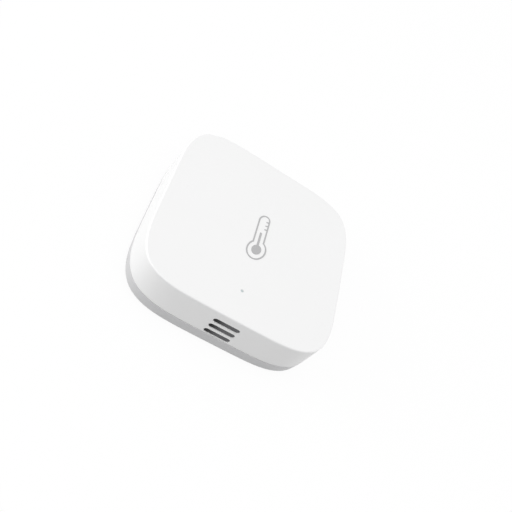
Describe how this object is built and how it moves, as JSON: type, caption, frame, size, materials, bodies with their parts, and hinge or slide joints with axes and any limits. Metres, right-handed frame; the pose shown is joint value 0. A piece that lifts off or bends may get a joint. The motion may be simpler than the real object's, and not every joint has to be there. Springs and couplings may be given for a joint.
{
  "type": "temperature humidity sensor",
  "caption": "Small white room sensor, square with rounded corners, that reads temperature and humidity through side air slots; its housing lifts off a rear cover to reach the coin cell.",
  "frame": {"origin": "centre of the adhesive pad's outer face, which is the face that meets a wall or a shelf", "axes": "+X to the right and +Y up the printed thermometer, seen from the front; +Z out of the front face. The air slots are in the -Y side wall and the reset button is in the +Y one."},
  "size_m": [0.036, 0.0364, 0.009],
  "materials": {
    "white_plastic": "fine matt moulded",
    "button_plastic": "satin moulded",
    "print_ink": "matt printed",
    "clear_plastic": "clear moulded",
    "mesh_cloth": "fine black weave",
    "foam_tape": "soft foam",
    "board_laminate": "green solder mask",
    "screw_steel": "zinc plated",
    "chip_black": "moulded epoxy",
    "crystal_can": "satin",
    "aerial_ceramic": "fired ceramic",
    "led_resin": "clear resin over phosphor",
    "switch_plastic": "moulded",
    "plunger_plastic": "moulded",
    "switch_steel": "bright stamped",
    "cell_steel": "nickel plated",
    "cell_nylon": "moulded",
    "strap_steel": "nickel plated spring steel",
    "leaf_bronze": "spring bronze",
    "seal_foam": "open foam",
    "capacitor_ceramic": "fired ceramic",
    "resistor_black": "glass coated",
    "terminal_tin": "tin plated",
    "coil_ferrite": "pressed ferrite",
    "tank_resin": "moulded epoxy",
    "pad_gold": "gold plated"
  },
  "bodies": {
    "cover": {"rear_cover": "white_plastic", "adhesive_pad": "foam_tape"},
    "housing": {"front_housing": "white_plastic", "thermometer_print": "print_ink", "light_pipe": "clear_plastic", "dust_mesh": "mesh_cloth", "circuit_board": "board_laminate", "board_screws": "screw_steel", "switch_body": "switch_plastic", "switch_plate_cover": "switch_steel", "cell_can": "cell_steel", "cell_seal": "cell_nylon", "cell_cap": "cell_steel", "positive_strap": "strap_steel", "negative_leaf": "leaf_bronze", "climate_chip": "chip_black", "foam_seal": "seal_foam", "status_led": "led_resin", "radio_chip": "chip_black", "flash_chip": "chip_black", "radio_crystal": "crystal_can", "clock_crystal": "crystal_can", "chip_aerial": "aerial_ceramic", "power_coil": "coil_ferrite", "ceramic_capacitors": "capacitor_ceramic", "chip_resistors": "resistor_black", "plated_terminals": "terminal_tin", "tank_capacitors": "tank_resin", "test_pads": "pad_gold"},
    "button": {"reset_button": "button_plastic"},
    "plunger": {"switch_plunger": "plunger_plastic"}
  },
  "joints": [
    {"name": "housing_release", "type": "slide", "parent": "cover", "child": "housing", "axis": [0, 0, 1], "range_m": [0, 0.02]},
    {"name": "reset_press", "type": "slide", "parent": "housing", "child": "button", "axis": [0, -1, 0], "range_m": [0, 0.00035], "stiffness_N_per_m": 3000},
    {"name": "plunger_press", "type": "slide", "parent": "housing", "child": "plunger", "axis": [0, -1, 0], "range_m": [0, 0.00035]}
  ],
  "couplings": [
    {"joint": "plunger_press", "follows": "reset_press", "ratio": 1}
  ]
}
